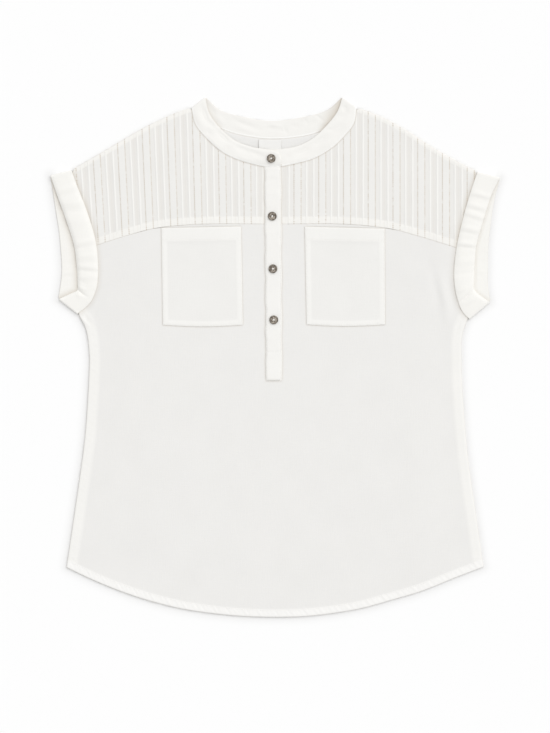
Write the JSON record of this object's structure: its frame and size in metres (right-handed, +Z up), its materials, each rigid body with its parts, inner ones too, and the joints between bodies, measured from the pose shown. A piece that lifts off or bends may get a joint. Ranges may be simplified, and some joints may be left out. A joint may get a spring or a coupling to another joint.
{
  "type": "blouse",
  "caption": "White voile popover blouse laid flat, with a band collar, pin-tucked yokes, a buttoned placket, patch pockets, turned-up cuffs and a curved hem.",
  "frame": {"origin": "on the surface that the blouse lies on, under the middle of its outline", "axes": "+Y from the hem to the neck, +X to the wearer's left, +Z up from the surface through the back and then the front"},
  "size_m": [0.5955, 0.689, 0.009],
  "materials": {
    "voile": "matt, fine plain weave, slightly sheer",
    "tucked_voile": "matt, fine plain weave with pin tucks and hemstitched lines",
    "doubled_voile": "matt, doubled and topstitched",
    "pocket_voile": "matt, fine plain weave over another layer",
    "button": "aged metal, brushed and mottled",
    "ribbon": "satin woven ribbon"
  },
  "bodies": {
    "root": {"back_panel": "voile", "front_body": "voile", "front_yoke_right": "tucked_voile", "front_yoke_left": "tucked_voile", "neckband": "doubled_voile", "cuff_right": "doubled_voile", "cuff_left": "doubled_voile", "placket_under": "doubled_voile", "placket_over": "doubled_voile", "pocket_right": "pocket_voile", "pocket_left": "pocket_voile", "button_1": "button", "button_2": "button", "button_3": "button", "button_4": "button", "label": "ribbon"}
  },
  "joints": []
}
